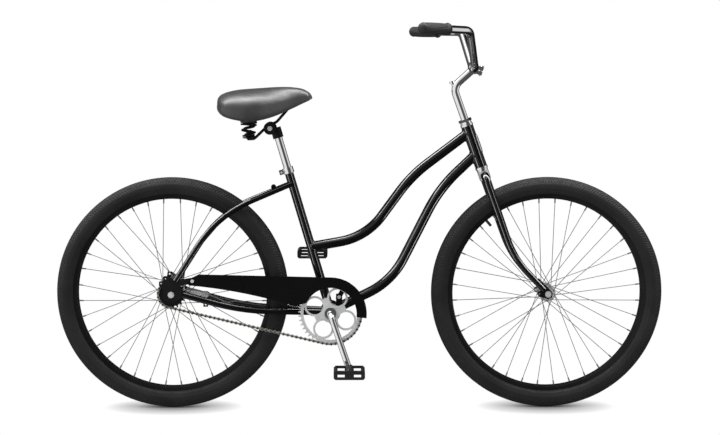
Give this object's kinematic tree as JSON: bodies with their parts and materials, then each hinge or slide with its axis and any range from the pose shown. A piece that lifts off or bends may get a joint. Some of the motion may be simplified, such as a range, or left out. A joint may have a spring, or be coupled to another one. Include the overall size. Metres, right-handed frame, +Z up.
{
  "type": "beach cruiser bicycle",
  "caption": "Step-through beach cruiser bicycle with balloon tyres, a coaster brake hub, swept-back handlebar, chain guard and a sprung wide saddle; steers, rolls and pedals.",
  "frame": {"origin": "on the ground, midway between the two axles, in the plane of the wheels", "axes": "+X forward, +Y to the rider's left, +Z up"},
  "size_m": [1.7427, 0.7112, 1.1012],
  "materials": {
    "frame_paint": "gloss black",
    "dropout_paint": "satin black",
    "rim_paint": "gloss black",
    "bright_chrome": "polished",
    "chainring_steel": "satin",
    "plain_steel": "zinc plated",
    "spoke_steel": "bright",
    "chain_steel": "oiled",
    "tyre_rubber": "matt black",
    "tube_rubber": "matt black",
    "grip_rubber": "matt black",
    "pedal_plastic": "satin black",
    "saddle_vinyl": "satin black vinyl"
  },
  "bodies": {
    "frame": {"head_tube": "frame_paint", "top_tube": "frame_paint", "down_tube": "frame_paint", "seat_tube": "frame_paint", "bottom_bracket_shell": "frame_paint", "chain_stays": "frame_paint", "seat_stays": "frame_paint", "rear_dropouts": "dropout_paint", "stay_bridges": "frame_paint", "seat_clamp": "bright_chrome", "frame_bolts": "plain_steel", "headset_cups": "bright_chrome", "bearing_balls": "plain_steel", "crank_cups": "plain_steel", "chain_guard": "frame_paint", "drive_chain": "chain_steel", "rear_axle": "plain_steel", "rear_axle_nuts": "plain_steel", "brake_arm": "plain_steel", "brake_arm_clip": "dropout_paint", "brake_shoes": "plain_steel"},
    "fork": {"fork_steerer": "plain_steel", "fork_blades": "frame_paint", "fork_dropouts": "dropout_paint", "headset_cones": "bright_chrome", "front_axle": "plain_steel", "front_hub_cones": "plain_steel", "front_axle_nuts": "plain_steel"},
    "stem": {"stem": "bright_chrome", "stem_wedge": "plain_steel", "stem_bolts": "bright_chrome"},
    "handlebar": {"handlebar": "bright_chrome", "right_grip": "grip_rubber", "left_grip": "grip_rubber"},
    "front_wheel": {"front_tyre": "tyre_rubber", "front_inner_tube": "tube_rubber", "front_rim": "rim_paint", "front_spokes": "spoke_steel", "front_hub": "plain_steel", "front_hub_balls": "plain_steel"},
    "rear_wheel": {"rear_tyre": "tyre_rubber", "rear_inner_tube": "tube_rubber", "rear_rim": "rim_paint", "rear_spokes": "spoke_steel", "rear_hub": "plain_steel", "rear_hub_balls": "plain_steel"},
    "sprocket": {"rear_sprocket": "dropout_paint"},
    "crank": {"crank": "bright_chrome", "chainring": "chainring_steel", "crank_cones": "plain_steel", "pedal_spindles": "plain_steel"},
    "right_pedal": {"right_pedal": "pedal_plastic"},
    "left_pedal": {"left_pedal": "pedal_plastic"},
    "seatpost": {"seatpost": "bright_chrome", "saddle_clamp": "dropout_paint"},
    "saddle_frame": {"saddle_jaws": "dropout_paint", "saddle_bolt": "plain_steel", "saddle_rails": "dropout_paint", "saddle_springs": "dropout_paint"},
    "saddle": {"saddle_top": "saddle_vinyl"}
  },
  "joints": [
    {"name": "steering", "type": "hinge", "parent": "frame", "child": "fork", "pos_m": [0.48383, 0, 0.31364], "axis": [-0.3338, 0, 0.9426], "range_deg": [-85, 85]},
    {"name": "stem_height", "type": "slide", "parent": "fork", "child": "stem", "axis": [-0.3338, 0, 0.9426], "range_m": [-0.05, 0.02]},
    {"name": "bar_tilt", "type": "hinge", "parent": "stem", "child": "handlebar", "pos_m": [0.32571, 0, 0.97584], "axis": [0, 1, 0], "range_deg": [-20, 20]},
    {"name": "front_wheel_spin", "type": "hinge", "parent": "fork", "child": "front_wheel", "pos_m": [0.5385, 0, 0.333], "axis": [0, 1, 0], "continuous": true},
    {"name": "rear_wheel_spin", "type": "hinge", "parent": "frame", "child": "rear_wheel", "pos_m": [-0.5385, 0, 0.333], "axis": [0, 1, 0], "continuous": true},
    {"name": "crank_spin", "type": "hinge", "parent": "frame", "child": "crank", "pos_m": [-0.08424, 0, 0.278], "axis": [0, 1, 0], "continuous": true, "deforming": ["drive_chain"]},
    {"name": "sprocket_spin", "type": "hinge", "parent": "frame", "child": "sprocket", "pos_m": [-0.5385, 0, 0.333], "axis": [0, 1, 0], "continuous": true, "deforming": ["drive_chain"]},
    {"name": "right_pedal_spin", "type": "hinge", "parent": "crank", "child": "right_pedal", "pos_m": [-0.03052, -0.078, 0.12199], "axis": [0, 1, 0], "continuous": true},
    {"name": "left_pedal_spin", "type": "hinge", "parent": "crank", "child": "left_pedal", "pos_m": [-0.13795, 0.072, 0.43401], "axis": [0, 1, 0], "continuous": true},
    {"name": "seat_height", "type": "slide", "parent": "frame", "child": "seatpost", "axis": [-0.284, 0, 0.9588], "range_m": [-0.06, 0.05]},
    {"name": "saddle_tilt", "type": "hinge", "parent": "seatpost", "child": "saddle_frame", "pos_m": [-0.25601, 0, 0.80627], "axis": [0, 1, 0], "range_deg": [-12, 12]},
    {"name": "saddle_bounce", "type": "hinge", "parent": "saddle_frame", "child": "saddle", "pos_m": [-0.204, 0, 0.866], "axis": [0, -1, 0], "range_deg": [0, 4], "stiffness_Nm_per_rad": 730, "springref_deg": -0.29, "deforming": ["saddle_springs"]}
  ],
  "couplings": [
    {"joint": "sprocket_spin", "follows": "crank_spin", "ratio": 2.3158}
  ]
}
